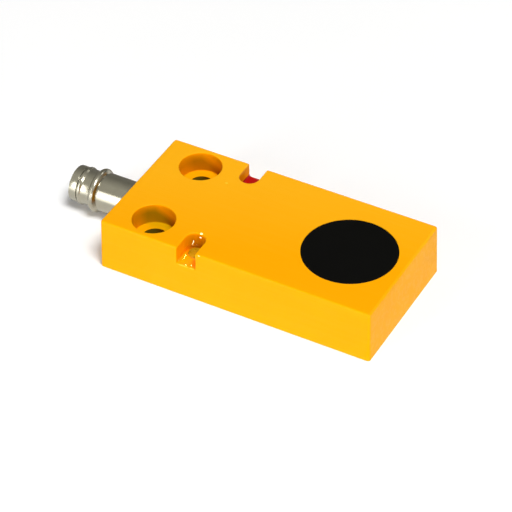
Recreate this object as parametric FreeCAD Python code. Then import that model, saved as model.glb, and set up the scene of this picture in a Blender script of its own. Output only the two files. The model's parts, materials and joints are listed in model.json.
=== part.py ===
import FreeCAD, Part
import math
import os

# Block-style inductive proximity sensor, in millimetres.
# The origin is on the mounting plane, midway between the two screw holes.
# +X runs to the active face, the connector points along -X, and +Z is up.

# Housing: a drafted die-cast block with a cavity that is open at the base
holes_to_connector_end = 8.05
holes_to_head = 33.05
head_to_far_end = 10.4
body_width = 26.0
body_height = 10.0
draft_inset = 0.25
corner_radius = 0.5
edge_radius = 0.4
base_edge_radius = 0.2
side_wall = 1.4
top_wall = 1.4
holes_to_cavity = 4.95
cavity_corner_radius = 1.0

# Screw holes, one beside each long side
hole_from_side = 5.0
hole_radius = 2.25
counterbore_radius = 3.75
counterbore_depth = 4.0
rim_chamfer = 0.15

# Indicator notches, one in each long side, with a resin window on the floor
holes_to_notch = 8.85
notch_width = 3.6
notch_reach = 5.0
notch_depth = 2.8
notch_floor_radius = 0.3
notch_wall = 0.9
notch_floor_wall = 0.5
window_thickness = 0.6
led_from_side = 3.6
led_length = 3.2
led_width = 3.0
led_base_height = 0.5
led_lens_radius = 1.3
led_lens_rise = 0.45
led_lens_edge_radius = 0.1
board_to_boss = 0.9

# Sensing head: a cap with a pot core, a bobbin and a winding in it
head_radius = 8.25
cap_clearance = 0.04
cap_face = 0.7
cap_above_leads = 0.15
cap_flange_width = 0.6
cap_flange_height = 0.6
core_radius = 7.0
core_clearance = 0.1
core_height = 4.2
core_back = 1.4
core_rim = 1.2
core_post_radius = 3.0
core_hole_radius = 1.0
core_slot_width = 3.0
bobbin_clearance = 0.05
bobbin_wall = 0.4
bobbin_flange = 0.35
winding_margin = 0.35
lead_radius = 0.15
lead_spacing = 1.6
lead_inset = 0.6
lead_lift = 0.05

# Circuit board and the chips on it
board_thickness = 1.6
board_length = 17.0
board_side_gap = 0.3
board_end_gap = 0.8
chip_from_front = 7.6
chip_length = 4.9
chip_width = 3.9
chip_height = 1.5
chip_leg_pitch = 1.27
chip_legs_per_side = 4
transistor_from_middle = 6.0
transistor_length = 2.9
transistor_width = 1.3
transistor_height = 0.85
transistor_leg_pitch = 0.95
leg_width = 0.4
leg_thickness = 0.2
leg_reach = 0.7
leg_foot = 0.4
diode_from_front = 2.2
diode_from_middle = 4.8
diode_length = 2.8
diode_width = 1.7
diode_height = 0.85
diode_tab_width = 1.0
resistor_from_front = 10.9
resistor_length = 1.6
resistor_width = 0.8
resistor_height = 0.45
resistor_pitch = 3.0
resistor_count = 6
capacitor_from_front = 13.2
capacitor_length = 2.0
capacitor_width = 1.25
capacitor_height = 0.9
capacitor_pitch = 4.0
capacitor_count = 5
pad_from_back = 1.4
pad_solder_radius = 0.45

# Connector: a turned sleeve, its lengths measured outwards from the end of the base,
# and its steps cut into or raised from the tube
tube_radius = 3.5
tube_length = 6.7
bead_groove_width = 0.1
bead_groove_cut = 0.2
bead_back_length = 0.5
bead_rise = 0.5
bead_width = 0.3
bead_edge_radius = 0.2
ramp_length = 1.0
neck_cut = 0.3
neck_width = 1.35
shoulder_length = 0.2
barrel_cut = 0.08
barrel_length = 0.5
barrel_edge_radius = 0.15
tip_groove_width = 0.2
tip_groove_cut = 0.5
tip_cut = 0.25
tip_length = 1.45
turned_edge_radius = 0.08
mouth_chamfer = 0.2
shank_cut = 0.4
shank_length = 9.0
socket_radius = 2.5
socket_depth = 6.0
carrier_head_length = 5.0
carrier_tail_radius = 2.2
carrier_clearance = 0.02
seat_clearance = 0.05
pin_radius = 0.4
pin_recess = 1.4
pin_spread = 1.1
pin_tail_on_board = 2.5
pin_lift = 0.1
pin_solder_thickness = 0.4
pin_solder_inset = 0.4

# Potting: stops a little short of the mounting plane
potting_recess = 0.3

# Places that follow from the sizes above
X_AXIS = FreeCAD.Vector(1, 0, 0)
Z_AXIS = FreeCAD.Vector(0, 0, 1)
SNUG = 1e-6
end_x = -holes_to_connector_end
head_x = holes_to_head
far_x = holes_to_head + head_to_far_end
half_width = body_width / 2
hole_y = half_width - hole_from_side
cavity_top = body_height - top_wall
cavity_end = far_x - side_wall
cavity_half = half_width - side_wall
window_top = body_height - notch_depth
notch_floor = window_top - window_thickness
boss_bottom = notch_floor - notch_floor_wall
board_top = boss_bottom - board_to_boss
lens_top = notch_floor + led_lens_rise
board_bottom = board_top - board_thickness
board_front = holes_to_cavity + board_end_gap
board_back = board_front + board_length
board_half = cavity_half - board_side_gap
axis_z = board_top - board_thickness / 2
core_top = body_height - cap_face
core_bottom = core_top - core_height
cap_bottom = board_top + lead_lift + 2 * lead_radius + cap_above_leads
cap_radius = head_radius - cap_clearance
bead_groove_radius = tube_radius - bead_groove_cut
bead_radius = tube_radius + bead_rise
neck_radius = tube_radius - neck_cut
barrel_radius = tube_radius - barrel_cut
tip_groove_radius = tube_radius - tip_groove_cut
tip_radius = tube_radius - tip_cut
shank_radius = tube_radius - shank_cut
seat_x = end_x + draft_inset
shank_end = seat_x + shank_length
bead_groove_x = end_x - tube_length
bead_back_x = bead_groove_x - bead_groove_width
bead_x = bead_back_x - bead_back_length
ramp_x = bead_x - bead_width
neck_x = ramp_x - ramp_length
shoulder_x = neck_x - neck_width
barrel_x = shoulder_x - shoulder_length
tip_groove_x = barrel_x - barrel_length
tip_x = tip_groove_x - tip_groove_width
mouth_x = tip_x - tip_length
carrier_x = mouth_x + socket_depth
carrier_seat_x = carrier_x + carrier_head_length
pin_offset = board_thickness / 2 + pin_lift + pin_radius
pin_places = [(-pin_spread, -pin_offset), (pin_spread, -pin_offset), (0.0, pin_offset)]
pin_end = board_front + pin_tail_on_board
sides = (-1, 1)


def box(x0, x1, y0, y1, z0, z1):
    """A block between two corners."""
    return Part.makeBox(x1 - x0, y1 - y0, z1 - z0, FreeCAD.Vector(x0, y0, z0))


def block_at(x, y, z, length, width, height):
    """A block that stands on height z, centred on x and y."""
    return box(x - length / 2, x + length / 2, y - width / 2, y + width / 2, z, z + height)


def upright(x, y, z0, z1, radius):
    """A cylinder that stands between two heights."""
    return Part.makeCylinder(radius, z1 - z0, FreeCAD.Vector(x, y, z0), Z_AXIS)


def along_x(x0, x1, y, z, radius):
    """A cylinder that lies between two places along X."""
    return Part.makeCylinder(radius, x1 - x0, FreeCAD.Vector(x0, y, z), X_AXIS)


def prism(points, direction):
    """A straight-sided solid from a closed outline and the way it is drawn out."""
    return Part.Face(Part.makePolygon(points + points[:1])).extrude(direction)


def turned_about_head(profile):
    """A solid turned about the head's axis from (radius, height) points."""
    points = [FreeCAD.Vector(head_x + r, 0, z) for r, z in profile]
    face = Part.Face(Part.makePolygon(points + points[:1]))
    return face.revolve(FreeCAD.Vector(head_x, 0, 0), Z_AXIS, 360)


def turned_about_connector(profile):
    """A solid turned about the connector's axis from (place along X, radius) points."""
    points = [FreeCAD.Vector(x, 0, axis_z + r) for x, r in profile]
    face = Part.Face(Part.makePolygon(points + points[:1]))
    return face.revolve(FreeCAD.Vector(0, 0, axis_z), X_AXIS, 360)


def is_upright(edge):
    """Whether an edge climbs from one height to another."""
    return edge.BoundBox.ZLength > body_height / 2


def lies_at(edge, z):
    """Whether a whole edge lies at one height."""
    box_of_edge = edge.BoundBox
    return abs(box_of_edge.ZMin - z) < SNUG and abs(box_of_edge.ZMax - z) < SNUG


def on_notch_mouth(edge):
    """Whether an edge lies in a long side wall, around the mouth of a notch."""
    middle = edge.CenterOfMass
    in_wall = abs(middle.y) > half_width - draft_inset - SNUG
    above_floor = middle.z > notch_floor - SNUG
    return in_wall and above_floor and abs(middle.x - holes_to_notch) < notch_width


def notch_outline(side, width, inner_y, outer_y, z0, z1):
    """A U-shaped column: straight flanks from the outside in, and a half-round inner end."""
    radius = width / 2
    middle_y = inner_y + radius
    left = holes_to_notch - radius
    right = holes_to_notch + radius
    low_left = FreeCAD.Vector(left, side * outer_y, z0)
    low_right = FreeCAD.Vector(right, side * outer_y, z0)
    end_left = FreeCAD.Vector(left, side * middle_y, z0)
    end_right = FreeCAD.Vector(right, side * middle_y, z0)
    end_middle = FreeCAD.Vector(holes_to_notch, side * inner_y, z0)
    edges = [
        Part.makeLine(low_left, end_left),
        Part.Arc(end_left, end_middle, end_right).toShape(),
        Part.makeLine(end_right, low_right),
        Part.makeLine(low_right, low_left),
    ]
    return Part.Face(Part.Wire(edges)).extrude(FreeCAD.Vector(0, 0, z1 - z0))


def notch_room(side):
    """The space of a notch, with a rounded edge where its flanks meet its floor."""
    inner_y = half_width - notch_reach
    room = notch_outline(side, notch_width, inner_y, body_width, notch_floor, body_height + notch_depth)
    floor_edges = [
        edge
        for edge in room.Edges
        if lies_at(edge, notch_floor) and abs(edge.CenterOfMass.y) < body_width - notch_floor_radius
    ]
    return room.makeFillet(notch_floor_radius, floor_edges)


def light_opening(side):
    """The round hole in a notch floor, which the lens of its indicator fills."""
    y = side * (half_width - led_from_side)
    return upright(holes_to_notch, y, boss_bottom, notch_floor + notch_floor_radius, led_lens_radius)


def cavity():
    """The room inside the housing, with the bosses behind the notches left out."""
    room = box(holes_to_cavity, cavity_end, -cavity_half, cavity_half, 0, cavity_top)
    room = room.makeFillet(cavity_corner_radius, [edge for edge in room.Edges if is_upright(edge)])
    for side in sides:
        boss_width = notch_width + 2 * notch_wall
        inner_y = half_width - notch_reach - notch_wall
        room = room.cut(notch_outline(side, boss_width, inner_y, body_width, boss_bottom, body_height))
    return room


def drafted_block():
    """The outer block: its four walls lean in towards the top."""
    wedge = Part.makeWedge(
        end_x, 0, -half_width, draft_inset - half_width, end_x + draft_inset,
        far_x, body_height, half_width, half_width - draft_inset, far_x - draft_inset,
    )
    wedge.rotate(FreeCAD.Vector(0, 0, 0), X_AXIS, 90)
    return wedge.makeFillet(corner_radius, [edge for edge in wedge.Edges if is_upright(edge)])


def screw_hole(side):
    """A through hole with a flat-bottomed counterbore and broken edges."""
    y = side * hole_y
    shelf = body_height - counterbore_depth
    hole = upright(0, y, 0, body_height, hole_radius)
    hole = hole.fuse(upright(0, y, shelf, body_height, counterbore_radius))
    for z, radius, lean in ((0, hole_radius, -1), (body_height, counterbore_radius, 1)):
        start = FreeCAD.Vector(0, y, z)
        wide = radius + rim_chamfer
        hole = hole.fuse(Part.makeCone(wide, radius, rim_chamfer, start, FreeCAD.Vector(0, 0, -lean)))
    return hole.removeSplitter()


def make_housing(room):
    block = drafted_block()
    for side in sides:
        block = block.cut(notch_room(side))
    rims = [edge for edge in block.Edges if lies_at(edge, body_height) or on_notch_mouth(edge)]
    block = block.makeFillet(edge_radius, rims)
    base_rim = [edge for edge in block.Edges if lies_at(edge, 0)]
    block = block.makeFillet(base_edge_radius, base_rim)
    cuts = [room]
    cuts += [screw_hole(side) for side in sides]
    cuts += [light_opening(side) for side in sides]
    cuts.append(upright(head_x, 0, cavity_top, body_height, head_radius))
    cuts.append(along_x(mouth_x, seat_x, 0, axis_z, tube_radius + seat_clearance))
    cuts.append(along_x(seat_x, shank_end, 0, axis_z, shank_radius))
    cuts.append(along_x(shank_end, holes_to_cavity, 0, axis_z, carrier_tail_radius))
    return block.cut(cuts)


def make_led(side):
    """An indicator with a flat base on the board and a round lens that stands in the notch floor."""
    y = side * (half_width - led_from_side)
    base = block_at(holes_to_notch, y, board_top, led_length, led_width, led_base_height)
    lens = upright(holes_to_notch, y, board_top, lens_top, led_lens_radius)
    lens = lens.makeFillet(led_lens_edge_radius, [edge for edge in lens.Edges if lies_at(edge, lens_top)])
    return base.fuse(lens).removeSplitter()


def make_led_window(side, led):
    """Cast resin: a layer on the notch floor that covers the lens of the indicator."""
    resin = notch_room(side).common(box(end_x, far_x, -half_width, half_width, notch_floor, window_top))
    return resin.common(drafted_block()).cut(led).removeSplitter()


def make_cap():
    """A cup that is closed at the top, with a flange that seats under the top wall."""
    inner = core_radius + core_clearance
    flange_radius = cap_radius + cap_flange_width
    flange_bottom = cavity_top - cap_flange_height
    return turned_about_head([
        (0, body_height),
        (cap_radius, body_height),
        (cap_radius, cavity_top),
        (flange_radius, cavity_top),
        (flange_radius, flange_bottom),
        (cap_radius, flange_bottom),
        (cap_radius, cap_bottom),
        (inner, cap_bottom),
        (inner, core_top),
        (0, core_top),
    ])


def make_core():
    """Half a pot core, open upwards, with a slot for the wire ends in its rim."""
    floor = core_bottom + core_back
    rim_inside = core_radius - core_rim
    core = turned_about_head([
        (core_hole_radius, core_bottom),
        (core_radius, core_bottom),
        (core_radius, core_top),
        (rim_inside, core_top),
        (rim_inside, floor),
        (core_post_radius, floor),
        (core_post_radius, core_top),
        (core_hole_radius, core_top),
    ])
    half_slot = core_slot_width / 2
    slot_start = head_x - 2 * core_radius
    slot_end = head_x - core_post_radius
    slot = box(slot_start, slot_end, -half_slot, half_slot, core_bottom, core_top)
    return core.cut(slot.cut(upright(head_x, 0, core_bottom, core_top, rim_inside)))


def make_bobbin():
    """A flanged former on the core's post."""
    low = core_bottom + core_back
    inner = core_post_radius + bobbin_clearance
    hub = inner + bobbin_wall
    outer = core_radius - core_rim - bobbin_clearance
    return turned_about_head([
        (inner, low),
        (outer, low),
        (outer, low + bobbin_flange),
        (hub, low + bobbin_flange),
        (hub, core_top - bobbin_flange),
        (outer, core_top - bobbin_flange),
        (outer, core_top),
        (inner, core_top),
    ])


def make_winding():
    """The wound copper between the bobbin's flanges."""
    low = core_bottom + core_back + bobbin_flange
    high = core_top - bobbin_flange
    hub = core_post_radius + bobbin_clearance + bobbin_wall
    outer = core_radius - core_rim - bobbin_clearance - winding_margin
    return turned_about_head([(hub, low), (outer, low), (outer, high), (hub, high)])


def bent_wire(points, radius):
    """A round wire along straight runs, with a ball at each bend."""
    runs = [
        Part.makeCylinder(radius, a.distanceToPoint(b), a, b.sub(a))
        for a, b in zip(points, points[1:])
    ]
    balls = [Part.makeSphere(radius, point) for point in points[1:-1]]
    return runs[0].fuse(runs[1:] + balls).removeSplitter()


def lead_y(side):
    """The wire ends run side by side."""
    return side * lead_spacing / 2


def make_coil_lead(side):
    """From the winding out through the core's slot, down past the core and on to the board."""
    y = lead_y(side)
    winding_outer = core_radius - core_rim - bobbin_clearance - winding_margin
    inner_flank = abs(y) - lead_radius
    start_x = head_x - math.sqrt(winding_outer ** 2 - inner_flank ** 2)
    bend_x = head_x - core_radius + lead_inset
    wire_z = (core_bottom + core_back + core_top) / 2
    board_z = board_top + lead_lift + lead_radius
    return bent_wire([
        FreeCAD.Vector(start_x, y, wire_z),
        FreeCAD.Vector(bend_x, y, wire_z),
        FreeCAD.Vector(bend_x, y, board_z),
        FreeCAD.Vector(board_back - pad_from_back, y, board_z),
    ], lead_radius)


def make_coil_solder(side):
    """A dome of solder over a wire end."""
    centre = FreeCAD.Vector(board_back - pad_from_back, lead_y(side), board_top)
    dome = Part.makeSphere(pad_solder_radius, centre, Z_AXIS, 0, 90)
    return dome.cut(make_coil_lead(side))


def make_board():
    return box(board_front, board_back, -board_half, board_half, board_bottom, board_top)


def gull_leg(x, y, way, height):
    """A bent leg from a package's flank at (x, y) outwards and down to the board."""
    top = board_top + height / 2 + leg_thickness / 2
    low = board_top + leg_thickness
    knee = y + way * (leg_reach - leg_foot)
    toe = y + way * leg_reach
    outline = [
        (y, top),
        (knee, top),
        (knee, low),
        (toe, low),
        (toe, board_top),
        (knee - way * leg_thickness, board_top),
        (knee - way * leg_thickness, top - leg_thickness),
        (y, top - leg_thickness),
    ]
    points = [FreeCAD.Vector(x - leg_width / 2, py, pz) for py, pz in outline]
    return prism(points, FreeCAD.Vector(leg_width, 0, 0))


def chip_x():
    """The place of the sensor chip along X, which the transistors share."""
    return board_front + chip_from_front


def make_sensor_chip():
    stand = leg_thickness
    return block_at(chip_x(), 0, board_top + stand, chip_length, chip_width, chip_height - stand)


def make_sensor_chip_legs():
    first = chip_x() - chip_leg_pitch * (chip_legs_per_side - 1) / 2
    return [
        gull_leg(first + i * chip_leg_pitch, way * chip_width / 2, way, chip_height)
        for way in sides
        for i in range(chip_legs_per_side)
    ]


def make_transistors():
    return [
        block_at(
            chip_x(), side * transistor_from_middle, board_top + leg_thickness,
            transistor_length, transistor_width, transistor_height - leg_thickness,
        )
        for side in sides
    ]


def make_transistor_legs():
    legs = []
    for side in sides:
        inner = side * (transistor_from_middle - transistor_width / 2)
        outer = side * (transistor_from_middle + transistor_width / 2)
        legs.append(gull_leg(chip_x(), inner, -side, transistor_height))
        legs.append(gull_leg(chip_x() - transistor_leg_pitch, outer, side, transistor_height))
        legs.append(gull_leg(chip_x() + transistor_leg_pitch, outer, side, transistor_height))
    return legs


def make_diodes():
    return [
        block_at(
            board_front + diode_from_front, side * diode_from_middle, board_top + leg_thickness,
            diode_width, diode_length, diode_height - leg_thickness,
        )
        for side in sides
    ]


def make_diode_tabs():
    """Flat tabs under both ends of each diode."""
    x = board_front + diode_from_front
    return [
        block_at(x, side * diode_from_middle + end * diode_length / 2, board_top,
                 diode_tab_width, diode_tab_width, leg_thickness)
        for side in sides
        for end in sides
    ]


def chip_row(from_front, count, pitch, length, width, height):
    """A row of equal chip parts across the board."""
    first = -pitch * (count - 1) / 2
    return [
        block_at(board_front + from_front, first + i * pitch, board_top, width, length, height)
        for i in range(count)
    ]


def make_sleeve():
    """Turned from the mouth to the shoulder on the housing, and on into the bore as a thinner shank.

    The plug slides over the tip and the barrel, up the ramp, and snaps behind the bead.
    """
    outside = [
        (mouth_x, tip_radius),
        (tip_x, tip_radius),
        (tip_x, tip_groove_radius),
        (tip_groove_x, tip_groove_radius),
        (tip_groove_x, barrel_radius),
        (barrel_x, barrel_radius),
        (shoulder_x, neck_radius),
        (neck_x, neck_radius),
        (ramp_x, bead_radius),
        (bead_x, bead_radius),
        (bead_back_x, bead_groove_radius),
        (bead_groove_x, bead_groove_radius),
        (bead_groove_x, tube_radius),
        (seat_x, tube_radius),
        (seat_x, shank_radius),
        (shank_end, shank_radius),
    ]
    inside = [
        (shank_end, carrier_tail_radius),
        (carrier_seat_x, carrier_tail_radius),
        (carrier_seat_x, socket_radius),
        (mouth_x + mouth_chamfer, socket_radius),
        (mouth_x, socket_radius + mouth_chamfer),
    ]
    sleeve = turned_about_connector(outside + inside)
    small_rings = [
        (mouth_x, tip_radius),
        (tip_x, tip_radius),
        (bead_groove_x, tube_radius),
    ]
    sleeve = sleeve.makeFillet(turned_edge_radius, rings_at(sleeve, small_rings))
    sleeve = sleeve.makeFillet(barrel_edge_radius, rings_at(sleeve, [(tip_groove_x, barrel_radius)]))
    return sleeve.makeFillet(bead_edge_radius, rings_at(sleeve, [(bead_x, bead_radius)]))


def rings_at(shape, places):
    """The full rings of a turned shape at these (place along X, radius) points."""
    circles = [edge for edge in shape.Edges if isinstance(edge.Curve, Part.Circle)]
    return [
        edge
        for edge in circles
        for x, radius in places
        if abs(edge.Curve.Center.x - x) < SNUG and abs(edge.Curve.Radius - radius) < SNUG
    ]


def make_pin(y, z):
    """A contact with a round tip, straight through to its tail beside the board."""
    tip_centre = mouth_x + pin_recess + pin_radius
    shaft = along_x(tip_centre, pin_end, y, axis_z + z, pin_radius)
    tip = Part.makeSphere(pin_radius, FreeCAD.Vector(tip_centre, y, axis_z + z))
    return shaft.fuse(tip).removeSplitter()


def make_pin_carrier(pins):
    """The insert: a wide head that stops on the sleeve's inner step, and a tail through the shank."""
    head = socket_radius - carrier_clearance
    tail = carrier_tail_radius - carrier_clearance
    carrier = turned_about_connector([
        (carrier_x, 0),
        (carrier_x, head),
        (carrier_seat_x, head),
        (carrier_seat_x, tail),
        (holes_to_cavity, tail),
        (holes_to_cavity, 0),
    ])
    return carrier.cut(pins)


def make_pin_solder(y, z, pin, board):
    """Solder around a contact's tail, on the board."""
    start = board_front + pin_solder_inset
    stop = pin_end - pin_solder_inset
    sheath = along_x(start, stop, y, axis_z + z, pin_radius + pin_solder_thickness)
    return sheath.cut([pin, board])


def make_potting(room, embedded):
    """All of the cavity that nothing else fills, up to just inside the mounting plane."""
    fill = room.cut(box(end_x, far_x, -half_width, half_width, 0, potting_recess))
    cap_top = turned_about_head([
        (0, body_height),
        (cap_radius, body_height),
        (cap_radius, cap_bottom),
        (core_radius + core_clearance, cap_bottom),
        (core_radius + core_clearance, core_bottom),
        (0, core_bottom),
    ])
    flange = upright(head_x, 0, cavity_top - cap_flange_height, cavity_top, cap_radius + cap_flange_width)
    return fill.cut([cap_top, flange] + embedded)


def save(name, shapes):
    """Write one node: a single solid, or a group of separate ones."""
    solids = [solid for shape in shapes for solid in shape.Solids]
    shape = solids[0] if len(solids) == 1 else Part.makeCompound(solids)
    if not shape.isValid():
        raise ValueError(name + " is not a valid solid")
    shape.exportStep("parts/" + name + ".step")


os.makedirs("parts", exist_ok=True)
room = cavity()
board = make_board()
pins = [make_pin(y, z) for y, z in pin_places]
pin_solder = [make_pin_solder(y, z, pin, board) for (y, z), pin in zip(pin_places, pins)]
leads = [make_coil_lead(side) for side in sides]
coil_solder = [make_coil_solder(side) for side in sides]
near_led = make_led(-1)
far_led = make_led(1)
near_window = make_led_window(-1, near_led)
far_window = make_led_window(1, far_led)
on_board = {
    "sensor_chip": [make_sensor_chip()],
    "sensor_chip_legs": make_sensor_chip_legs(),
    "output_transistors": make_transistors(),
    "transistor_legs": make_transistor_legs(),
    "protection_diodes": make_diodes(),
    "diode_tabs": make_diode_tabs(),
    "ceramic_capacitors": chip_row(
        capacitor_from_front, capacitor_count, capacitor_pitch,
        capacitor_length, capacitor_width, capacitor_height,
    ),
    "chip_resistors": chip_row(
        resistor_from_front, resistor_count, resistor_pitch,
        resistor_length, resistor_width, resistor_height,
    ),
}
embedded = [board, near_led, far_led] + pins + pin_solder + leads + coil_solder
for shapes in on_board.values():
    embedded += shapes

save("housing", [make_housing(room)])
save("clear_led_window", [near_window])
save("red_led_window", [far_window])
save("amber_led", [near_led])
save("red_led", [far_led])
save("active_face_cap", [make_cap()])
save("ferrite_core", [make_core()])
save("coil_bobbin", [make_bobbin()])
save("coil_winding", [make_winding()])
save("coil_leads", leads)
save("coil_solder_joints", coil_solder)
save("circuit_board", [board])
for name, shapes in on_board.items():
    save(name, shapes)
save("connector_sleeve", [make_sleeve()])
save("pin_carrier", [make_pin_carrier(pins)])
for number, pin in enumerate(pins, start=1):
    save("contact_pin_" + str(number), [pin])
save("pin_solder_joints", pin_solder)
save("potting_compound", [make_potting(room, embedded)])
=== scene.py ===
import json
import math

import bmesh
import bpy
from mathutils import Color, Matrix, Vector


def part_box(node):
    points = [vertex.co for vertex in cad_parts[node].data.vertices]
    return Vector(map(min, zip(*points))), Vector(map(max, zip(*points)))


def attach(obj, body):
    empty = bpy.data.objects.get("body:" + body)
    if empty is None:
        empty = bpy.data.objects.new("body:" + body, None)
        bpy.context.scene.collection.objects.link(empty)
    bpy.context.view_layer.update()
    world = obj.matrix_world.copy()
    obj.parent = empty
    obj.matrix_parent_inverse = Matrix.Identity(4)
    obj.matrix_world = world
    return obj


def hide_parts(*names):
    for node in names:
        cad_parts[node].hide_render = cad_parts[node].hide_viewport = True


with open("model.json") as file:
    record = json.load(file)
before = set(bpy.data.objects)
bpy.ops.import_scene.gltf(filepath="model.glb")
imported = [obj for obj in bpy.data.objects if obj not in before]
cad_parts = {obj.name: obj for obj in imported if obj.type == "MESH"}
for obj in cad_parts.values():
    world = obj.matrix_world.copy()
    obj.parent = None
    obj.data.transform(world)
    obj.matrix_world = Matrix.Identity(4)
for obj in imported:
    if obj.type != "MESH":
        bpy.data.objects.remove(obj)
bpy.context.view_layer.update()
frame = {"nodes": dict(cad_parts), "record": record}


# Housing
# A zinc die casting whose walls lean in a little, with a baked satin yellow paint.
# The screw holes, head opening and connector bore are machined; its base is open for the potting.
MM = 0.001
tolerance = 0.001
merge_distance = 0.00001
overcut = 1.0
upward = Vector((0, 0, 1))
lengthways = Vector((1, 0, 0))
near_side = -1
far_side = 1
sides = (near_side, far_side)
low, high = (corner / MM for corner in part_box("housing"))
middle = (low + high) / 2
mounts = {mount["name"]: mount for mount in frame["record"]["mounts"]}
screw_mounts = [mounts[name] for name in ("near_screw_hole", "far_screw_hole")]
screw_places = [Vector(mount["pos_m"]) / MM for mount in screw_mounts]
screw_offset = screw_places[1].y
screw_radius = mounts["near_screw_hole"]["dims"]["r_mm"]
counterbore_radius = mounts["near_counterbore"]["dims"]["r_mm"]
counterbore_depth = 4.0
shelf = high.z - counterbore_depth
shelf_rounding = 0.15
shelf_edge = 0.05
draft = 0.25
corner_rounding = 0.5
rim_rounding = 0.4
notch_rim = 0.18
notch_rim_angle = math.radians(30)
base_rounding = 0.2
hole_rim = 0.16
notch_x = 8.85
notch_width = 3.6
notch_floor = 6.6
notch_rim_bottom = notch_floor - 0.1
notch_floor_rounding = 0.3
notch_inner_end = 7.7
boss_width = 5.4
boss_inner_end = 7.1
boss_bottom = 6.1
lens_radius = 1.3
lens_y = 9.4
lens_shaft_top = notch_floor + notch_floor_rounding
cavity_low = Vector((4.95, -11.6, -1.0))
cavity_high = Vector((42.05, 11.6, 8.6))
cavity_rounding = 1.0
head_place = Vector(mounts["active_face"]["pos_m"]) / MM
head_radius = 8.25
connector_z = mounts["snap_connector"]["pos_m"][2] / MM
connector_place = Vector((0, 0, connector_z))
sleeve_seat = -7.8
spot_face_radius = 3.55
shank_radius = 3.1
shank_end = 1.2
tail_bore_radius = 2.2
sharp_angle = math.radians(40)
paint_yellow = (253, 177, 4)
paint_deep = (248, 170, 1)
paint_pale = (253, 190, 30)
# Painted shade near the front and painted sheen at the far side of the top face
painted_top_near_shade = (255, 166, 0)
painted_top_far_sheen = (255, 181, 30)
# Counterbore colours: a painted lit band, painted shade on the walls and shelf, and bare hole metal
# with painted shade
painted_rim_light = (255, 160, 0)
painted_bore_shade = (176, 132, 4)
painted_far_bore_shade = (202, 130, 2)
painted_shelf_shadow = (190, 160, 4)
painted_deep_bore_shade = (144, 60, 0)
bare_hole_shaded = (112, 94, 20)
bare_hole_deep_shade = (92, 34, 2)
# Notch colours: painted shade for the inner ends, lighter on the far notch, a deeper orange for the
# walls, and darker painted shade at the foot
paint_shaded = (188, 116, 0)
painted_far_notch_shade = (222, 126, 0)
paint_orange = (253, 160, 0)
painted_notch_seam_shade = (132, 90, 0)
# Colour of the painted glints
painted_glint = (255, 246, 200)
# Paler colour for a worn speck and for painted highlights on the notch lip
paint_worn_and_highlight = (254, 216, 66)
brush_angle = math.radians(-12)
brush_stretch = (0.05, 1.1, 1.1)
top_sheen_slant = 0.28
top_sheen_span = (-13.0, 5.0)
far_notch_shift = 1.4
shaded_side = (0.874, 0.487, 0)
unbounded = 1000.0
spot_core = 0.75
# Painted glints: spots whose colour is paled and whose surface direction faces the key lamp
glint_facet = (0.376, -0.48, 0.793)
glint_spots = (
    ((9.05, -7.6, 9.9), (0.36, 0.14, 0.16)),
    ((8.86, -7.71, 9.14), (0.2, 0.2, 0.2)),
    ((7.72, -8.11, 8.08), (0.09, 0.09, 0.36)),
    ((7.6, -8.2, 7.56), (0.09, 0.09, 0.36)),
    ((11.4, -12.72, 9.85), (0.22, 0.1, 0.1)),
)
# Two painted highlights along the near notch's lip, and one worn speck on the top
worn_and_lit_spots = (
    ((8.3, -12.8, 6.55), (1.2, 0.14, 0.14)),
    ((10.0, -12.8, 6.55), (0.5, 0.14, 0.14)),
    ((6.2, 6.1, 10.0), (0.3, 0.26, 0.2)),
)


def linear(shown):
    """A colour as a picture shows it, 0 to 255, as the shader's linear colour."""
    return (*(Color(shown) / 255).from_srgb_to_scene_linear(), 1.0)


class Level:
    """A value in a finish. Sums on it add Math nodes."""

    def __init__(self, finish, socket):
        self.finish = finish
        self.socket = socket

    def reckon(self, operation, first, second):
        return self.finish.node("ShaderNodeMath", {"operation": operation}, {0: first, 1: second})

    def __add__(self, other):
        return self.reckon("ADD", self, other)

    def __radd__(self, other):
        return self.reckon("ADD", other, self)

    def __sub__(self, other):
        return self.reckon("SUBTRACT", self, other)

    def __rsub__(self, other):
        return self.reckon("SUBTRACT", other, self)

    def __mul__(self, other):
        return self.reckon("MULTIPLY", self, other)

    def __rmul__(self, other):
        return self.reckon("MULTIPLY", other, self)


class Mixture:
    """A node tree in the making. node() adds one node, and the other methods call it."""

    def __init__(self, tree, shader):
        self.tree = tree
        self.shader = tree.nodes[shader]

    def node(self, kind, settings, sockets, result=0):
        node = self.tree.nodes.new(kind)
        for name, value in settings.items():
            setattr(node, name, value)
        self.feed(node, sockets)
        return Level(self, node.outputs[result])

    def feed(self, node, sockets):
        for name, value in sockets.items():
            if isinstance(value, Level):
                self.tree.links.new(value.socket, node.inputs[name])
            else:
                node.inputs[name].default_value = value

    def surface(self, sockets):
        self.feed(self.shader, sockets)

    def ramp(self, value, start, end, before=0.0, after=1.0):
        """A level that goes from before to after as a value goes from start to end."""
        sockets = {0: value, 1: start, 2: end, 3: before, 4: after}
        return self.node("ShaderNodeMapRange", {}, sockets)

    def blend(self, share, first, second):
        """A colour between two others, each a level or a picture's colour."""
        first, second = (end if isinstance(end, Level) else linear(end) for end in (first, second))
        sockets = {0: share, 6: first, 7: second}
        return self.node("ShaderNodeMix", {"data_type": "RGBA"}, sockets, 2)

    def noise(self, place, scale, detail, roughness=0.5):
        sockets = {"Vector": place, "Scale": scale, "Detail": detail, "Roughness": roughness}
        return self.node("ShaderNodeTexNoise", {}, sockets, "Fac")

    def vector(self, operation, first, second=(0, 0, 0), result="Vector"):
        settings = {"operation": operation}
        return self.node("ShaderNodeVectorMath", settings, {0: first, 1: second}, result)

    def part(self, vector, axis):
        return self.node("ShaderNodeSeparateXYZ", {}, {0: vector}, axis)


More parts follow.
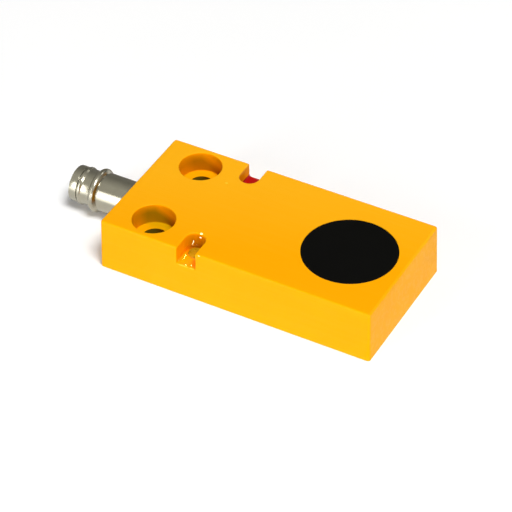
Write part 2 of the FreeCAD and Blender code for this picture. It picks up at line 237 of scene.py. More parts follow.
class Finish(Mixture):
    """A material in the making. place is the spot on the piece in millimetres."""

    def __init__(self, name):
        self.material = bpy.data.materials.new(name)
        self.material.use_nodes = True
        super().__init__(self.material.node_tree, "Principled BSDF")
        spot = self.node("ShaderNodeTexCoord", {}, {}, "Object")
        in_mm = {0: spot, "Scale": 1 / MM}
        self.place = self.node("ShaderNodeVectorMath", {"operation": "SCALE"}, in_mm)

    def relief(self, height, depth, facing=None):
        """The surface's direction with bumps on it, whose depth is in millimetres."""
        sockets = {"Strength": 1.0, "Distance": depth * MM, "Height": height}
        if facing is not None:
            sockets["Normal"] = facing
        return self.node("ShaderNodeBump", {}, sockets, "Normal")


def block(low, high):
    """A block between two corners."""
    solid = bmesh.new()
    shape = Matrix.Translation((low + high) / 2) @ Matrix.Diagonal((*(high - low), 1.0))
    bmesh.ops.create_cube(solid, size=1.0, matrix=shape)
    return solid


def round_off(solid, parts, radius, segments, affect="EDGES"):
    """Rounds edges of a solid, or corners of a flat outline."""
    bmesh.ops.bevel(
        solid,
        geom=parts,
        offset=radius,
        offset_type="OFFSET",
        affect=affect,
        segments=segments,
        profile=0.5,
        material=-1,
    )


def bottom_of(edge):
    return min(corner.co.z for corner in edge.verts)


def top_of(edge):
    return max(corner.co.z for corner in edge.verts)


def upright_edges(solid, shortest=1.0):
    return [edge for edge in solid.edges if top_of(edge) - bottom_of(edge) > shortest]


def ring_edges(solid, centre, radius, height):
    """The edges of an upright hole's rim."""

    def on_rim(corner):
        away = (corner.co.xy - centre.xy).length
        return abs(corner.co.z - height) < tolerance and abs(away - radius) < tolerance

    return [edge for edge in solid.edges if all(on_rim(corner) for corner in edge.verts)]


def tongue(side, width, inner_end, bottom, top):
    """A plug with a half-round inner end that runs out through one long side of the block."""
    solid = bmesh.new()
    centre_y = inner_end + width / 2
    place = Matrix.Translation((notch_x, side * centre_y, bottom))
    bmesh.ops.create_circle(solid, cap_ends=True, radius=width / 2, segments=64, matrix=place)
    for corner in solid.verts:
        if side * corner.co.y > centre_y + tolerance:
            corner.co.y = side * 2 * high.y
    raised = bmesh.ops.extrude_face_region(solid, geom=solid.faces[:])["geom"]
    lifted = [part for part in raised if isinstance(part, bmesh.types.BMVert)]
    bmesh.ops.translate(solid, verts=lifted, vec=(0, 0, top - bottom))
    bmesh.ops.recalc_face_normals(solid, faces=solid.faces)
    return solid


def turned(corners, centre, axis, steps=128):
    """An outline turned about an axis: each corner's place along the axis, radius and rounding."""
    solid = bmesh.new()
    foot = centre - axis * centre.dot(axis)
    out = Vector((axis.z, 0, axis.x))
    places = [foot + axis * along + out * radius for along, radius, rounding in corners]
    outline = [solid.verts.new(place) for place in places]
    solid.faces.new(outline)
    for corner, (along, radius, rounding) in zip(outline, corners):
        if rounding:
            round_off(solid, [corner], rounding, segments=4, affect="VERTICES")
    for face in solid.faces[:]:
        solid.faces.remove(face)
    for edge in solid.edges[:]:
        if all((corner.co - foot).cross(axis).length < tolerance for corner in edge.verts):
            solid.edges.remove(edge)
    swept = solid.verts[:] + solid.edges[:]
    bmesh.ops.spin(
        solid, geom=swept, cent=foot, axis=axis, angle=math.tau, steps=steps, use_merge=True
    )
    bmesh.ops.remove_doubles(solid, verts=solid.verts, dist=merge_distance)
    bmesh.ops.recalc_face_normals(solid, faces=solid.faces)
    return solid


def as_object(name, solid):
    mesh = bpy.data.meshes.new(name)
    solid.to_mesh(mesh)
    solid.free()
    piece = bpy.data.objects.new(name, mesh)
    bpy.context.scene.collection.objects.link(piece)
    return piece


def carved(solid, cutters):
    """A solid with cutters taken out of it, each by an exact Boolean."""
    piece = as_object("carving", solid)
    tools = [as_object("cutter", cutter) for cutter in cutters]
    for tool in tools:
        cut = piece.modifiers.new("cut", "BOOLEAN")
        cut.operation = "DIFFERENCE"
        cut.solver = "EXACT"
        cut.object = tool
    shape = piece.evaluated_get(bpy.context.evaluated_depsgraph_get())
    result = bmesh.new()
    result.from_mesh(shape.data)
    for spent in tools + [piece]:
        bpy.data.meshes.remove(spent.data)
    return result


def settled(name, solid, material):
    """A finished piece: its mesh in metres, smooth but for its sharp edges, with its material."""
    bmesh.ops.scale(solid, vec=(MM, MM, MM), verts=solid.verts)
    bmesh.ops.recalc_face_normals(solid, faces=solid.faces)
    piece = as_object(name, solid)
    piece.data.shade_smooth()
    piece.data.set_sharp_from_angle(angle=sharp_angle)
    piece.data.materials.append(material)
    smoothing = piece.modifiers.new("flat faces", "WEIGHTED_NORMAL")
    smoothing.keep_sharp = True
    return piece


body = block(low, high)
crown = [corner for corner in body.verts if corner.co.z > middle.z]
lean = Vector((1 - 2 * draft / (high.x - low.x), 1 - 2 * draft / (high.y - low.y), 1))
bmesh.ops.scale(body, vec=lean, verts=crown, space=Matrix.Translation(-middle))
round_off(body, upright_edges(body), corner_rounding, segments=8)
brow = [edge for edge in body.edges if bottom_of(edge) > high.z - tolerance]
round_off(body, brow, rim_rounding, segments=6)

notches = [tongue(side, notch_width, notch_inner_end, notch_floor, 2 * high.z) for side in sides]
for notch in notches:
    floor_edges = [edge for edge in notch.edges if top_of(edge) < notch_floor + tolerance]
    round_off(notch, floor_edges, notch_floor_rounding, segments=10)
body = carved(body, notches)
creased = [edge for edge in body.edges if edge.calc_face_angle(0) > notch_rim_angle]
notch_rims = [edge for edge in creased if bottom_of(edge) > notch_rim_bottom]
round_off(body, notch_rims, notch_rim, segments=4)
base_edges = [edge for edge in body.edges if top_of(edge) < low.z + tolerance]
round_off(body, base_edges, base_rounding, segments=4)

cutters = []
for place in screw_places:
    screw_hole = (
        (low.z - overcut, 0, 0),
        (low.z - overcut, screw_radius, 0),
        (shelf, screw_radius, shelf_edge),
        (shelf, counterbore_radius, shelf_rounding),
        (high.z + overcut, counterbore_radius, 0),
        (high.z + overcut, 0, 0),
    )
    cutters.append(turned(screw_hole, place, upward))
head_opening = (
    (cavity_high.z - overcut, 0, 0),
    (cavity_high.z - overcut, head_radius, 0),
    (high.z + overcut, head_radius, 0),
    (high.z + overcut, 0, 0),
)
cutters.append(turned(head_opening, head_place, upward))
cavity = block(cavity_low, cavity_high)
round_off(cavity, upright_edges(cavity), cavity_rounding, segments=6)
boss_top = cavity_high.z + overcut
bosses = [tongue(side, boss_width, boss_inner_end, boss_bottom, boss_top) for side in sides]
cutters.append(carved(cavity, bosses))
for side in sides:
    lens_shaft = (
        (boss_bottom - overcut, 0, 0),
        (boss_bottom - overcut, lens_radius, 0),
        (lens_shaft_top, lens_radius, 0),
        (lens_shaft_top, 0, 0),
    )
    cutters.append(turned(lens_shaft, Vector((notch_x, side * lens_y, 0)), upward))
connector_bore = (
    (low.x - overcut, 0, 0),
    (low.x - overcut, spot_face_radius, 0),
    (sleeve_seat, spot_face_radius, 0),
    (sleeve_seat, shank_radius, 0),
    (shank_end, shank_radius, 0),
    (shank_end, tail_bore_radius, 0),
    (cavity_low.x + overcut, tail_bore_radius, 0),
    (cavity_low.x + overcut, 0, 0),
)
cutters.append(turned(connector_bore, connector_place, lengthways))
body = carved(body, cutters)
for place in screw_places:
    round_off(body, ring_edges(body, place, counterbore_radius, high.z), hole_rim, segments=4)
    round_off(body, ring_edges(body, place, screw_radius, low.z), hole_rim, segments=3)

# The paint is cloudy and faintly brushed; on the top face a painted sheen pales it towards the far
# side, and painted shade deepens it near the front.
paint = Finish("yellow_paint")
paint_x, paint_y, paint_z = (paint.part(paint.place, axis) for axis in "XYZ")
to_far = paint.ramp(paint_y, -0.1, 0.1)
cloud = paint.noise(paint.place, scale=0.09, detail=3.0)
brushing = {"Vector": paint.place, "Rotation": (0, 0, brush_angle), "Scale": brush_stretch}
brushed = paint.node("ShaderNodeMapping", {}, brushing)
streak = paint.noise(brushed, scale=1.0, detail=4.0, roughness=0.6)
grit = paint.noise(paint.place, scale=5.0, detail=2.0)
peel = paint.noise(paint.place, scale=1.3, detail=2.0)
clouded = paint.blend(cloud, paint_deep, paint_yellow)
streaked = paint.blend(paint.ramp(streak, 0.52, 0.8, after=0.12), clouded, paint_pale)
top_sheen = paint.ramp(paint_y - paint_x * top_sheen_slant, *top_sheen_span)
on_top = paint.ramp(paint_z, high.z - 0.3, high.z - 0.05, after=0.6)
coat = paint.blend(on_top, streaked, paint.blend(top_sheen, painted_top_near_shade, painted_top_far_sheen))

# Painted light and shade in the counterbores: a painted lit band under the rim that reaches lower
# on the right and covers the left side, painted shade that darkens the walls downwards, deepest low
# on the shaded side and a little lighter in the far counterbore, and a painted shadow on the back
# of the near shelf. The screw holes below are bare metal, darkened with painted shade that deepens
# to the shaded side.
unsigned_y = paint.part(paint.vector("ABSOLUTE", paint.place), "Y")
mirrored = paint.node("ShaderNodeCombineXYZ", {}, {"X": paint_x, "Y": unsigned_y})
reach = paint.vector("DISTANCE", mirrored, (0, screw_offset, 0), "Value")
hole_y = paint_y - (to_far * 2 - 1) * screw_offset
signed_reach = paint.node("ShaderNodeCombineXYZ", {}, {"X": paint_x, "Y": hole_y})
rightward = paint.vector("DOT_PRODUCT", signed_reach, shaded_side, "Value")
over_base = paint.ramp(paint_z, low.z + 0.05, low.z + 0.3)
in_bore = paint.ramp(reach, counterbore_radius + 0.1, counterbore_radius) * over_base
in_hole = paint.ramp(reach, screw_radius + 0.12, screw_radius + 0.06)
below_shelf = paint.ramp(paint_z, shelf - 0.02, shelf - 0.12)
on_wall = paint.ramp(paint_z, shelf + 0.05, shelf + 0.3)
low_down = paint.ramp(paint_z, shelf + 2.6, shelf + 0.6)
off_left = paint.ramp(rightward, -3.4, -1.2, before=0.2)
at_right = paint.ramp(rightward, 1.2, 3.4, after=0.8)
rim_light = paint.ramp(rightward, 0.2, 3.0, after=1.9)
down_bore = paint.ramp(paint_z + rim_light, high.z - 0.1, high.z - 1.7)
shelf_shadow = paint.ramp(hole_y, 0.8, 3.2, after=0.65)
bore_shade = paint.blend(to_far, painted_bore_shade, painted_far_bore_shade)
bore_light_and_shade = paint.blend(down_bore * off_left, painted_rim_light, bore_shade)
bore_wall_shading = paint.blend(at_right * low_down, bore_light_and_shade, painted_deep_bore_shade)
# Painted shadow of the rim on the back of the near shelf
ledge = paint.blend(in_bore * shelf_shadow * (1 - to_far), coat, painted_shelf_shadow)
# Counterbore walls take the painted light and shade above
thinned = paint.blend(in_bore * on_wall, ledge, bore_wall_shading)
# Bare metal in the screw holes, darkened with painted shade that deepens to the shaded side
hole_wall_shading = paint.blend(paint.ramp(rightward, 0.0, 2.0), bare_hole_shaded, bare_hole_deep_shade)
bored_out = paint.blend(in_hole * below_shelf, thinned, hole_wall_shading)

# In the notches the paint is a deeper orange, with painted shade on their inner ends that deepens
# downwards and is darkest at their foot; the far notch's painted shade is lighter.
notch_middle = (notch_x, notch_inner_end + notch_width / 2, 0)
from_notch = paint.vector("SUBTRACT", mirrored, notch_middle)
behind = paint.vector("MINIMUM", from_notch, (unbounded, 0, 0))
spread = paint.vector("LENGTH", behind, result="Value")
in_outline = paint.ramp(spread, notch_width / 2 + 0.12, notch_width / 2 + 0.02)
under_rim = paint.ramp(paint_z, high.z - 0.05, high.z - 0.5)
over_floor = paint.ramp(paint_z, notch_floor - 0.1, notch_floor - 0.05)
in_notch = in_outline * under_rim * over_floor
at_end = paint.ramp(paint.part(from_notch, "Y") - to_far * far_notch_shift, 0.8, -1.4)
sinking = paint.ramp(paint_z, high.z - 0.05, high.z - 1.8, before=0.3)
at_foot = paint.ramp(paint_z, notch_floor + 1.5, notch_floor + 0.4, after=0.8)
notch_seam_shade = paint.blend(at_foot, paint.blend(to_far, paint_shaded, painted_far_notch_shade), painted_notch_seam_shade)
notch_shading = paint.blend(at_end * sinking, paint_orange, notch_seam_shade)
shaded = paint.blend(in_notch, bored_out, notch_shading)


def spotted(finish, spots):
    """Where a finish has small spots, each given as a place and its half sizes."""
    mask = 0.0
    for centre, size in spots:
        scaled = finish.vector("DIVIDE", finish.vector("SUBTRACT", finish.place, centre), size)
        mask = mask + finish.ramp(finish.vector("LENGTH", scaled, result="Value"), 1.0, spot_core)
    return mask


def tilted(finish, mask):
    """The surface's direction, turned in the glint spots to face the key lamp's mirror direction,
    for painted glints.
    """
    flat = finish.node("ShaderNodeNewGeometry", {}, {}, "Normal")
    sockets = {0: mask, 4: flat, 5: glint_facet}
    return finish.node("ShaderNodeMix", {"data_type": "VECTOR"}, sockets, 1)


# Painted glints: a few spots are paled and turned to catch the key lamp. Other spots are paler, as
# worn paint on the top and as painted highlights along the near notch's lip, and the end face is
# rubbed dull.
glints = spotted(paint, glint_spots)
aged_and_lit = paint.blend(spotted(paint, worn_and_lit_spots) * 0.6, shaded, paint_worn_and_highlight)
rubbed = paint.ramp(paint_x, high.x - 0.6, high.x - 0.3, after=0.5)
paint.surface(
    {
        "Base Color": paint.blend(glints * 0.5, aged_and_lit, painted_glint),
        "Roughness": streak * 0.14 + 0.2 - glints * 0.12,
        "Metallic": glints * 0.08,
        "Specular IOR Level": 0.01,
        "Coat Weight": (1 - in_notch) * (1 - in_bore) * (1 - rubbed),
        "Coat Roughness": 0.26,
        "Coat IOR": 1.12,
        "Normal": paint.relief(peel + grit * 0.35, depth=0.004, facing=tilted(paint, glints)),
    }
)
housing = settled("housing_cast", body, paint.material)
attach(housing, "root")
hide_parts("housing")


# Active face cap
# A cup of black glass-filled plastic, moulded with a fine matt face, that covers the coil.
# Its flange seats under the housing's top wall and its face is flush with the paint.
cap_low, cap_high = (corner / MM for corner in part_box("active_face_cap"))
cap_radius = 8.21
cap_inner_radius = 7.1
cap_face_thickness = 0.7
cap_ceiling = cap_high.z - cap_face_thickness
cap_flange_bottom = 8.0
cap_flange_top = 8.6
cap_flange_radius = (cap_high.x - cap_low.x) / 2
cap_edge = 0.12
cap_foot_edge = 0.1
cap_inner_rounding = 0.2
cap_black = (6, 6, 5)
cap_grey = (13, 13, 11)
cap_corners = (
    (cap_high.z, 0, 0),
    (cap_high.z, cap_radius, cap_edge),
    (cap_flange_top, cap_radius, 0),
    (cap_flange_top, cap_flange_radius, 0),
    (cap_flange_bottom, cap_flange_radius, 0),
    (cap_flange_bottom, cap_radius, 0),
    (cap_low.z, cap_radius, cap_foot_edge),
    (cap_low.z, cap_inner_radius, cap_foot_edge),
    (cap_ceiling, cap_inner_radius, cap_inner_rounding),
    (cap_ceiling, 0, 0),
)
cap_mesh = turned(cap_corners, head_place, upward, steps=160)

cap_plastic = Finish("black_plastic")
erosion = cap_plastic.noise(cap_plastic.place, scale=9.0, detail=3.0)
flow = cap_plastic.noise(cap_plastic.place, scale=0.25, detail=4.0)
scatter = {"Vector": cap_plastic.place, "Scale": 0.8}
specks = cap_plastic.node("ShaderNodeTexVoronoi", {}, scatter, "Distance")
dust = cap_plastic.ramp(specks, 0.045, 0.02, after=0.5)
cap_plastic.surface(
    {
        "Base Color": cap_plastic.blend(flow * 0.5 + dust, cap_black, cap_grey),
        "Roughness": erosion * 0.15 + 0.5,
        "Specular IOR Level": 0.035,
        "Normal": cap_plastic.relief(erosion, depth=0.006),
    }
)
cap = settled("cap_moulding", cap_mesh, cap_plastic.material)
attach(cap, "root")
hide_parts("active_face_cap")


# Sensing coil
# A pot core pressed from ferrite powder holds a nylon bobbin wound with fine enamelled copper wire.
# It stands in the cap, open towards the face, and its two wire ends run down to the board.
ferrite_dark = (36, 36, 38)
ferrite_light = (68, 68, 72)
nylon_dark = (206, 200, 184)
nylon_light = (226, 220, 206)
copper_dark = (120, 58, 26)
copper_light = (206, 118, 66)


def dress(node, finish):
    """Gives a CAD node, whose shape stays as it is, a finish of its own."""
    for held in frame["nodes"][node].material_slots:
        held.material = finish.material


def grained(name, dark, light, scale, roughness, depth, metallic=0.0):
    """A finish with a fine uneven grain between two shades."""
    finish = Finish(name)
    grain = finish.noise(finish.place, scale=scale, detail=4.0)
    finish.surface(
        {
            "Base Color": finish.blend(grain, dark, light),
            "Roughness": grain * 0.2 + roughness,
            "Metallic": metallic,
            "Normal": finish.relief(grain, depth),
        }
    )
    return finish


ferrite = grained("ferrite", ferrite_dark, ferrite_light, scale=4.0, roughness=0.5, depth=0.02)
dress("ferrite_core", ferrite)
nylon = grained("bobbin_plastic", nylon_dark, nylon_light, scale=1.5, roughness=0.35, depth=0.005)
dress("coil_bobbin", nylon)
copper = Finish("copper")
winding = {"Vector": copper.place, "Scale": 1.6, "Distortion": 0.4}
turns = copper.node("ShaderNodeTexWave", {"bands_direction": "Z"}, winding, "Fac")
copper.surface(
    {
        "Base Color": copper.blend(turns, copper_dark, copper_light),
        "Metallic": 0.85,
        "Roughness": turns * -0.15 + 0.4,
        "Normal": copper.relief(turns, depth=0.05),
    }
)
dress("coil_winding", copper)
dress("coil_leads", copper)


# Circuit board
# A glass-fibre board under green solder resist with the oscillator, output stage and protection.
# It stands on the contact pins, and solder and the potting hold it.
resist_dark = (16, 74, 42)
resist_light = (30, 104, 58)
solder_dark = (150, 150, 152)
solder_light = (206, 206, 208)
chip_dark = (22, 22, 24)
chip_light = (40, 40, 43)
tin_dark = (178, 178, 176)
tin_light = (214, 214, 212)
capacitor_dark = (150, 112, 74)
capacitor_light = (182, 142, 100)
resistor_dark = (26, 27, 32)
resistor_light = (52, 54, 60)
laminate = Finish("board_laminate")
threads = {"Vector": laminate.place, "Scale": 0.8, "Distortion": 0.6}
warp = laminate.node("ShaderNodeTexWave", {"bands_direction": "X"}, threads, "Fac")
weft = laminate.node("ShaderNodeTexWave", {"bands_direction": "Y"}, threads, "Fac")
weave = warp * weft
laminate.surface(
    {
        "Base Color": laminate.blend(weave, resist_dark, resist_light),
        "Roughness": warp * 0.1 + 0.3,
        "Normal": laminate.relief(weave, depth=0.01),
    }
)
dress("circuit_board", laminate)
solder = grained(
    "solder", solder_dark, solder_light, scale=2.0, roughness=0.2, depth=0.02, metallic=1.0
)
for joint in ("coil_solder_joints", "pin_solder_joints"):
    dress(joint, solder)
chip_plastic = grained("chip_plastic", chip_dark, chip_light, scale=6.0, roughness=0.5, depth=0.01)
for package in ("sensor_chip", "output_transistors", "protection_diodes"):
    dress(package, chip_plastic)
tinned = grained(
    "tinned_metal", tin_dark, tin_light, scale=3.0, roughness=0.2, depth=0.004, metallic=1.0
)
for leg in ("sensor_chip_legs", "transistor_legs", "diode_tabs"):
    dress(leg, tinned)
capacitor = grained(
    "capacitor_ceramic", capacitor_dark, capacitor_light, scale=5.0, roughness=0.4, depth=0.006
)
dress("ceramic_capacitors", capacitor)
resistor = grained(
    "resistor_ceramic", resistor_dark, resistor_light, scale=5.0, roughness=0.35, depth=0.006
)
dress("chip_resistors", resistor)


# Indicator lights
# Two light-emitting diodes on the board, each with a round cast lens that stands in a notch floor.
# Unlit, the near one's lens is a milky amber and the far one's red.
amber_lens_dark = (142, 126, 26)
amber_lens_light = (162, 144, 40)
red_lens_dark = (120, 12, 10)
red_lens_light = (168, 24, 20)
amber_lens = grained(
    "amber_lens", amber_lens_dark, amber_lens_light, scale=1.6, roughness=0.2, depth=0.01
)
dress("amber_led", amber_lens)
red_lens = grained("red_lens", red_lens_dark, red_lens_light, scale=1.6, roughness=0.2, depth=0.01)
dress("red_led", red_lens)


# Connector sleeve
# A snap sleeve turned from brass bar and nickel plated, pressed into the housing by its shank.
# A plug clicks over the bead; the neck, the barrel and the tip groove guide it on.
sleeve_low, sleeve_high = (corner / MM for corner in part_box("connector_sleeve"))
tube_radius = 3.5
tube_end = -14.65
back_groove = -14.78
back_groove_radius = 3.3
bead_back = -15.22
bead_front = -15.9
bead_radius = (sleeve_high.z - sleeve_low.z) / 2
neck_back = -16.42
neck_front = -18.0
neck_radius = 3.2
barrel_back = -18.2
barrel_front = -18.7
barrel_radius = 3.42
tip_groove_front = -18.9
tip_groove_radius = 3.0
tip_radius = mounts["snap_connector"]["dims"]["r_mm"]
mouth = sleeve_low.x
socket_radius = 2.5
socket_depth = 11.0
carrier_seat = mouth + socket_depth
sleeve_tail_radius = 2.2
nickel_light = (176, 173, 157)
nickel_dull = (156, 151, 134)
lathe_stretch = (14.0, 0.12, 0.12)
sleeve_corners = (
    (shank_end, shank_radius, 0),
    (sleeve_seat, shank_radius, 0),
    (sleeve_seat, tube_radius, 0),
    (tube_end, tube_radius, 0.15),
    (tube_end, back_groove_radius, 0.04),
    (back_groove, back_groove_radius, 0.04),
    (bead_back, bead_radius, 0.32),
    (bead_front, bead_radius, 0.32),
    (neck_back, neck_radius, 0.06),
    (neck_front, neck_radius, 0.14),
    (barrel_back, barrel_radius, 0.1),
    (barrel_front, barrel_radius, 0.15),
    (barrel_front, tip_groove_radius, 0.04),
    (tip_groove_front, tip_groove_radius, 0.04),
    (tip_groove_front, tip_radius, 0.06),
    (mouth, tip_radius, 0.05),
    (mouth, socket_radius, 0.2),
    (carrier_seat, socket_radius, 0),
    (carrier_seat, sleeve_tail_radius, 0),
    (shank_end, sleeve_tail_radius, 0),
)
sleeve_mesh = turned(sleeve_corners, connector_place, lengthways, steps=160)

nickel = Finish("nickel")
lathe = nickel.node("ShaderNodeMapping", {}, {"Vector": nickel.place, "Scale": lathe_stretch})
turning = nickel.noise(lathe, scale=1.0, detail=3.0, roughness=0.6)
smear = nickel.noise(nickel.place, scale=0.5, detail=5.0)
along_sleeve = nickel.part(nickel.place, "X")
ringed = nickel.ramp(along_sleeve, tube_end - 0.1, tube_end - 0.3, after=0.09)
nickel.surface(
    {
        "Base Color": nickel.blend(smear, nickel_light, nickel_dull),
        "Metallic": 1.0,
        "Roughness": smear * 0.1 + turning * 0.08 + 0.06 + ringed,
        "Normal": nickel.relief(turning, depth=0.0008),
    }
)
sleeve = settled("sleeve_turning", sleeve_mesh, nickel.material)
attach(sleeve, "root")
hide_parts("connector_sleeve")


# Plug contacts
# Three gold-plated brass pins with round tips, moulded into a black plastic insert in the sleeve.
# Their tails run on through the insert and are soldered to the board.
contact_names = ("contact_pin_1", "contact_pin_2", "contact_pin_3")
pin_tail_edge = 0.08
tip_roundness = 0.98
carrier_low, carrier_high = (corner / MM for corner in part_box("pin_carrier"))
carrier_radius = (carrier_high.z - carrier_low.z) / 2
carrier_edge = 0.15
carrier_seat_edge = 0.1
insert_dark = (20, 20, 21)
insert_light = (38, 38, 40)
gold_deep = (214, 168, 84)
gold_light = (240, 202, 124)
wire_stretch = (0.4, 9.0, 9.0)
gold = Finish("gold_contact")
drawn_wire = gold.node("ShaderNodeMapping", {}, {"Vector": gold.place, "Scale": wire_stretch})
draw_marks = gold.noise(drawn_wire, scale=1.0, detail=3.0)
gold.surface(
    {
        "Base Color": gold.blend(draw_marks, gold_deep, gold_light),
        "Metallic": 1.0,
        "Roughness": draw_marks * 0.15 + 0.12,
        "Normal": gold.relief(draw_marks, depth=0.002),
    }
)


def pin_shape(node):
    """A round-ended pin where the CAD has it."""
    pin_low, pin_high = (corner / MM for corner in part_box(node))
    pin_radius = (pin_high.y - pin_low.y) / 2
    pin_corners = (
        (pin_low.x, 0, 0),
        (pin_low.x, pin_radius, pin_radius * tip_roundness),
        (pin_high.x, pin_radius, pin_tail_edge),
        (pin_high.x, 0, 0),
    )
    return turned(pin_corners, (pin_low + pin_high) / 2, lengthways, steps=32)


for node in contact_names:
    contact = settled(node + "_gilt", pin_shape(node), gold.material)
    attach(contact, "root")
    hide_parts(node)

insert_corners = (
    (carrier_low.x, 0, 0),
    (carrier_low.x, carrier_radius, carrier_edge),
    (carrier_seat, carrier_radius, carrier_seat_edge),
    (carrier_seat, sleeve_tail_radius, 0),
    (carrier_high.x, sleeve_tail_radius, 0),
    (carrier_high.x, 0, 0),
)
insert = turned(insert_corners, connector_place, lengthways, steps=96)
insert = carved(insert, [pin_shape(node) for node in contact_names])
bmesh.ops.remove_doubles(insert, verts=insert.verts, dist=tolerance)
carrier_plastic = grained(
    "carrier_plastic", insert_dark, insert_light, scale=5.0, roughness=0.4, depth=0.008
)
carrier = settled("carrier_moulding", insert, carrier_plastic.material)
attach(carrier, "root")
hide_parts("pin_carrier")


# Indicator windows
# Clear or red epoxy poured into each notch over its light, so it creeps up the walls as it sets.
# The red one is on the far side and the clear one on the near side.
resin_overlap = 0.03
creep_roundness = 0.98
clear_level = 7.15
clear_creep = (0.35, 0.5)
clear_edge = ((11.3, 0.95), (11.9, 0.7), (12.3, 0.4), (12.55, 0.06))
# Painted glints on the clear resin: spots made a little metallic and turned to catch the key lamp
clear_glint_spots = (
    ((7.74, -11.2, 7.1), (0.11, 0.85, 0.5)),
    ((8.74, -12.55, 6.65), (0.22, 0.14, 0.2)),
    ((9.66, -12.32, 6.76), (0.15, 0.18, 0.2)),
)
clear_amber = (246, 186, 70)
clear_milky = (222, 200, 120)
clear_sheen = (0.5, 0.48, 0.4, 1)
red_level = 7.2
red_creep = (0.5, 0.5)
red_edge = ((12.55, 1.0), (12.66, 0.94), (12.72, 0.8))
red_deep = (160, 6, 6)
red_light = (196, 12, 10)


def poured(side, level, creep, front_edge):
    """Resin in a notch: it creeps up the walls, by a reach and a height, and thins out in front."""
    solid = bmesh.new()
    wall = notch_width / 2
    centre = Vector((notch_x, side * (notch_inner_end + wall), notch_floor))
    creep_reach, creep_height = creep
    outline = [
        solid.verts.new((notch_x + reach, centre.y, height))
        for reach, height in (
            (0, notch_floor - resin_overlap),
            (wall + resin_overlap, notch_floor - resin_overlap),
            (wall + resin_overlap, level + creep_reach),
            (wall, level + creep_reach),
            (wall, level),
            (0, level),
        )
    ]
    for start, end in zip(outline, outline[1:]):
        solid.edges.new((start, end))
    round_off(solid, [outline[4]], creep_reach * creep_roundness, segments=16, affect="VERTICES")
    climb = [corner for corner in solid.verts if corner.co.z > level]
    stretch = Vector((1, 1, creep_height / creep_reach))
    bmesh.ops.scale(solid, vec=stretch, verts=climb, space=Matrix.Translation((0, 0, -level)))
    swept = solid.verts[:] + solid.edges[:]
    bmesh.ops.spin(solid, geom=swept, cent=centre, axis=upward, angle=-side * math.pi, steps=48)
    bmesh.ops.remove_doubles(solid, verts=solid.verts, dist=merge_distance)
    last = centre.y
    thickness = 1.0
    for front, thinned in front_edge:
        rim = [edge for edge in solid.edges if edge.is_boundary]
        ends = [
            edge for edge in rim if all(abs(tip.co.y - last) < tolerance for tip in edge.verts)
        ]
        pulled = bmesh.ops.extrude_edge_only(solid, edges=ends)["geom"]
        tips = [part for part in pulled if isinstance(part, bmesh.types.BMVert)]
        bmesh.ops.translate(solid, verts=tips, vec=(0, side * front - last, 0))
        raised = [tip for tip in tips if tip.co.z > notch_floor]
        flatten = Vector((1, 1, thinned / thickness))
        bmesh.ops.scale(solid, vec=flatten, verts=raised, space=Matrix.Translation(-centre))
        last = side * front
        thickness = thinned
    bmesh.ops.remove_doubles(solid, verts=solid.verts, dist=merge_distance)
    bmesh.ops.holes_fill(solid, edges=[edge for edge in solid.edges if edge.is_boundary], sides=0)
    bmesh.ops.recalc_face_normals(solid, faces=solid.faces)
    return solid


clear = Finish("clear_resin")
ripple = clear.noise(clear.place, scale=0.9, detail=2.0)
resin_glints = spotted(clear, clear_glint_spots)
climbed = clear.ramp(clear.part(clear.place, "Z"), clear_level + 0.1, clear_level + 0.9)
at_back = clear.ramp(clear.part(clear.place, "Y"), -10.8, -9.6)
clear.surface(
    {
        "Base Color": clear.blend(climbed * at_back, clear_amber, clear_milky),
        "Roughness": ripple * 0.04,
        "Metallic": resin_glints * 0.05,
        "Transmission Weight": 1.0,
        "IOR": 1.3,
        "Specular Tint": clear_sheen,
        "Normal": clear.relief(ripple, depth=0.03, facing=tilted(clear, resin_glints)),
    }
)
clear_pool = poured(near_side, clear_level, clear_creep, clear_edge)
clear_window = settled("clear_window_resin", clear_pool, clear.material)
clear_window.visible_shadow = False
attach(clear_window, "root")
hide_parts("clear_led_window")

red = Finish("red_resin")
swirl = red.noise(red.place, scale=0.8, detail=3.0)
red.surface(
    {
        "Base Color": red.blend(swirl, red_deep, red_light),
        "Roughness": swirl * 0.1 + 0.08,
        "Specular IOR Level": 0.12,
        "Normal": red.relief(swirl, depth=0.02),
    }
)
red_pool = poured(far_side, red_level, red_creep, red_edge)
red_window = settled("red_window_resin", red_pool, red.material)
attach(red_window, "root")
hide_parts("red_led_window")


# Potting
# Black epoxy poured in from below to seal the inside and hold the board, level with the open base.
# It sets with a smooth, faintly wavy skin and a few pinholes.
epoxy_black = (24, 22, 20)
epoxy_grey = (44, 41, 38)
epoxy = Finish("potting_resin")
wave = epoxy.noise(epoxy.place, scale=0.12, detail=2.0)
pores = epoxy.node("ShaderNodeTexVoronoi", {}, {"Vector": epoxy.place, "Scale": 0.35}, "Distance")
pinhole = epoxy.ramp(pores, 0.08, 0.03)
epoxy.surface(
    {
        "Base Color": epoxy.blend(wave, epoxy_black, epoxy_grey),
        "Roughness": wave * 0.15 + 0.2 + pinhole * 0.3,
        "Normal": epoxy.relief(wave - pinhole * 0.3, depth=0.15),
    }
)
dress("potting_compound", epoxy)


# Floor
# A sheet of white card under the sensor; it shows as plain white and keeps the soft shadow.
# Seen only in the sleeve's metal, the card has a painted glow at the front, as under a window, and
# a painted dimming behind.
card_size = 3.0
card_white = (0.97, 0.97, 0.97, 1)
card_dim = (0.2, 0.18, 0.16, 1)
card_glow = 0.07
sleeve_zone = (-8.0, -18.0)
glow_zone = (-18.0, -34.0)
painted_glow = 1.7
back_zone = (3.0, 7.0)


def rays(finish):
    """Whether a ray is the camera's own, a mirrored one or one through something clear."""
    kinds = ("Is Camera Ray", "Is Glossy Ray", "Is Transmission Ray")
    return [finish.node("ShaderNodeLightPath", {}, {}, kind) for kind in kinds]


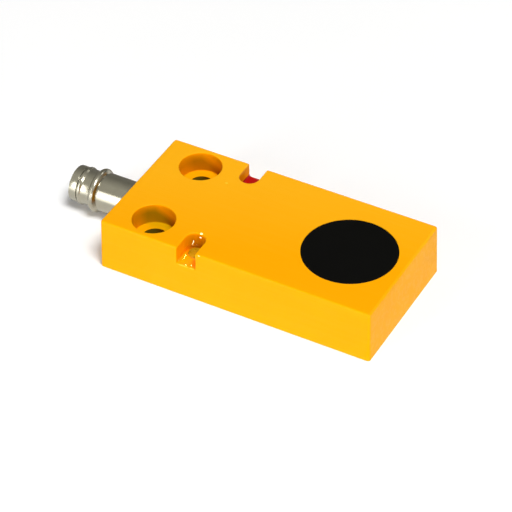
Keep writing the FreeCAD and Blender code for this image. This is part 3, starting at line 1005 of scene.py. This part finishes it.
card = bmesh.new()
bmesh.ops.create_grid(card, x_segments=1, y_segments=1, size=card_size)
white = Finish("white_card")
direct, reflected, through = rays(white)
card_x, card_y = (white.part(white.place, axis) for axis in "XY")
by_sleeve = reflected * white.ramp(card_x, *sleeve_zone)
sheen = white.ramp(card_y, *glow_zone, after=painted_glow)
to_back = white.ramp(card_y, *back_zone)
dimming = {0: by_sleeve * to_back, 6: card_white, 7: card_dim}
white.surface(
    {
        "Base Color": white.node("ShaderNodeMix", {"data_type": "RGBA"}, dimming, 2),
        "Roughness": 1.0,
        "Specular IOR Level": 0.0,
        "Emission Color": (direct + reflected + through) * card_glow + by_sleeve * sheen,
        "Emission Strength": 1.0,
    }
)
floor = as_object("floor", card)
floor.data.materials.append(white.material)


# Lamps
# Studio lamps: one high on the right, a tall one at the front left for the metal's bright line,
# and weaker ones at the front, the right and behind, in a room that is darker towards the back.
aim = Vector((0.015, 0, 0.005))
room_colour = (1.0, 0.99, 0.92, 1)
room_light = 0.08
front_wall_light = 0.7
back_wall_light = 0.29
for name, towards, distance, wide, tall, share in (
    ("key", (0.363, -0.272, 0.891), 1.3, 0.45, 0.45, 0.94),
    ("window", (-0.373, -0.875, 0.309), 1.4, 0.30, 0.86, 0.29),
    ("front", (0.25, -0.96, 0.09), 1.4, 1.0, 0.2, 0.21),
    ("right", (0.98, -0.10, 0.10), 1.4, 0.8, 0.2, 0.068),
    ("behind", (0.35, 0.70, 0.62), 1.4, 0.3, 0.3, 0.06),
):
    lamp = bpy.data.lights.new(name, "AREA")
    lamp.shape = "RECTANGLE"
    lamp.size = wide
    lamp.size_y = tall
    lamp.energy = share * math.pi**2 * distance**2
    stand = bpy.data.objects.new(name, lamp)
    stand.location = aim + Vector(towards).normalized() * distance
    stand.rotation_euler = Vector(towards).to_track_quat("Z", "Y").to_euler()
    bpy.context.scene.collection.objects.link(stand)
room = bpy.data.worlds.new("room")
room.use_nodes = True
walls = Mixture(room.node_tree, "Background")
direction = walls.node("ShaderNodeTexCoord", {}, {}, "Generated")
to_back_wall = walls.part(direction, "Y")
wall_light = walls.ramp(to_back_wall, -0.1, 0.75, front_wall_light, back_wall_light)
seen, in_metal, in_resin = rays(walls)
shown = in_metal + in_resin
lighting = 1 - seen - shown
walls.surface({"Color": room_colour, "Strength": seen + shown * wall_light + lighting * room_light})
bpy.context.scene.world = room
bpy.context.scene.view_settings.view_transform = "Standard"


# Camera
# A long lens from above on the right of the near side, as in the photograph.
# Its place, angles and focal length were solved from the block's edges and the round face.
camera_place = Vector((175.743, -288.146, 285.847))
azimuth = math.radians(29.126)
elevation = math.radians(40.739)
roll = math.radians(-0.744)
focal_length = 179.07
film_width = 36
lens = bpy.data.cameras.new("camera")
lens.lens = focal_length
lens.sensor_width = film_width
camera = bpy.data.objects.new("camera", lens)
camera.matrix_world = (
    Matrix.Translation(camera_place * MM)
    @ Matrix.Rotation(azimuth, 4, "Z")
    @ Matrix.Rotation(math.pi / 2 - elevation, 4, "X")
    @ Matrix.Rotation(roll, 4, "Z")
)
bpy.context.scene.collection.objects.link(camera)
bpy.context.scene.camera = camera
